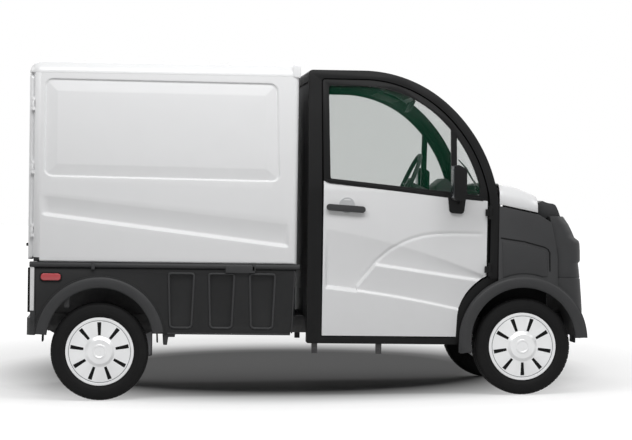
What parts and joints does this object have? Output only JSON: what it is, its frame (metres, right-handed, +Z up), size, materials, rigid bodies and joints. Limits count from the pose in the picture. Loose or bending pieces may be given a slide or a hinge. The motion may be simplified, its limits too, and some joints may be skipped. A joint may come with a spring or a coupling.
{
  "type": "electric mini van",
  "caption": "Small electric delivery van: closed load box with ribbed roof behind a two-seat cab, on four road wheels with front steering.",
  "frame": {"origin": "on the ground, under the middle of the van's length and width", "axes": "+X forward, +Y to the van's left-hand side, +Z up"},
  "size_m": [2.9906, 1.732, 1.8148],
  "materials": {
    "black_steel": "satin",
    "grey_plastic": "matte",
    "cast_grey": "matte",
    "black_frame": "satin",
    "white_paint": "gloss",
    "green_glass": "clear",
    "black_plastic": "grained",
    "seat_fabric": "woven",
    "dash_plastic": "grained",
    "lamp_clear": "clear",
    "floor_board": "matte",
    "lamp_red": "gloss",
    "tyre_rubber": "matte",
    "wheel_silver": "satin"
  },
  "bodies": {
    "body": {"chassis_frame": "black_steel", "battery_pack": "grey_plastic", "rear_axle": "black_steel", "drive_motor": "cast_grey", "front_suspension": "black_steel", "cab_frame": "black_frame", "cab_roof": "white_paint", "windscreen": "green_glass", "cab_tub": "black_plastic", "cab_rear_wall": "black_plastic", "seats": "seat_fabric", "dashboard": "dash_plastic", "steering_column": "dash_plastic", "front_panel": "black_plastic", "front_bumper": "black_plastic", "headlamps": "lamp_clear", "box_roof": "white_paint", "box_front_wall": "white_paint", "box_floor": "floor_board", "box_rear_frame": "white_paint", "rub_rails": "black_plastic", "rear_bumper": "black_plastic", "rear_lamps": "lamp_red", "wing_right": "black_plastic", "box_side_right": "white_paint", "skirt_right": "black_plastic", "wing_left": "black_plastic", "box_side_left": "white_paint", "skirt_left": "black_plastic"},
    "door_right": {"door_skin_right": "white_paint", "door_frame_right": "black_frame", "door_glass_right": "green_glass"},
    "door_left": {"door_skin_left": "white_paint", "door_frame_left": "black_frame", "door_glass_left": "green_glass"},
    "bonnet": {"bonnet": "white_paint"},
    "rear_door_right": {"box_door_right": "white_paint"},
    "rear_door_left": {"box_door_left": "white_paint"},
    "steering_wheel": {"steering_wheel": "dash_plastic"},
    "knuckle_right": {"knuckle_right": "cast_grey"},
    "knuckle_left": {"knuckle_left": "cast_grey"},
    "wheel_front_right": {"tyre_front_right": "tyre_rubber", "wheel_front_right": "wheel_silver"},
    "wheel_rear_right": {"tyre_rear_right": "tyre_rubber", "wheel_rear_right": "wheel_silver"},
    "wheel_front_left": {"tyre_front_left": "tyre_rubber", "wheel_front_left": "wheel_silver"},
    "wheel_rear_left": {"tyre_rear_left": "tyre_rubber", "wheel_rear_left": "wheel_silver"}
  },
  "joints": [
    {"name": "rear_wheel_right", "type": "hinge", "parent": "body", "child": "wheel_rear_right", "pos_m": [-1.111, -0.612, 0.26], "axis": [0, 1, 0], "continuous": true},
    {"name": "steer_right", "type": "hinge", "parent": "body", "child": "knuckle_right", "pos_m": [1.149, -0.56, 0.26], "axis": [0, 0, 1], "range_deg": [-32, 32]},
    {"name": "front_wheel_right", "type": "hinge", "parent": "knuckle_right", "child": "wheel_front_right", "pos_m": [1.149, -0.612, 0.26], "axis": [0, 1, 0], "continuous": true},
    {"name": "cab_door_right", "type": "hinge", "parent": "body", "child": "door_right", "pos_m": [0.97159, -0.716, 0.8295], "axis": [0.0209, 0, 0.9998], "range_deg": [0, 65]},
    {"name": "load_door_right", "type": "hinge", "parent": "body", "child": "rear_door_right", "pos_m": [-1.45655, -0.7, 1.23044], "axis": [0.0209, 0, 0.9998], "range_deg": [0, 180]},
    {"name": "rear_wheel_left", "type": "hinge", "parent": "body", "child": "wheel_rear_left", "pos_m": [-1.111, 0.612, 0.26], "axis": [0, 1, 0], "continuous": true},
    {"name": "steer_left", "type": "hinge", "parent": "body", "child": "knuckle_left", "pos_m": [1.149, 0.56, 0.26], "axis": [0, 0, 1], "range_deg": [-32, 32]},
    {"name": "front_wheel_left", "type": "hinge", "parent": "knuckle_left", "child": "wheel_front_left", "pos_m": [1.149, 0.612, 0.26], "axis": [0, 1, 0], "continuous": true},
    {"name": "cab_door_left", "type": "hinge", "parent": "body", "child": "door_left", "pos_m": [0.97159, 0.716, 0.8295], "axis": [-0.0209, 0, -0.9998], "range_deg": [0, 65]},
    {"name": "load_door_left", "type": "hinge", "parent": "body", "child": "rear_door_left", "pos_m": [-1.45655, 0.7, 1.23044], "axis": [-0.0209, 0, -0.9998], "range_deg": [0, 180]},
    {"name": "bonnet_lid", "type": "hinge", "parent": "body", "child": "bonnet", "pos_m": [1.27621, 0, 1.04717], "axis": [0, 1, 0], "range_deg": [0, 60]},
    {"name": "steering_turn", "type": "hinge", "parent": "body", "child": "steering_wheel", "pos_m": [0.64794, 0.33, 1.13634], "axis": [0.9048, 0, -0.4258], "range_deg": [-512, 512]}
  ],
  "couplings": [
    {"joint": "steer_left", "follows": "steering_turn", "ratio": -0.0625},
    {"joint": "steer_right", "follows": "steering_turn", "ratio": -0.0625}
  ]
}
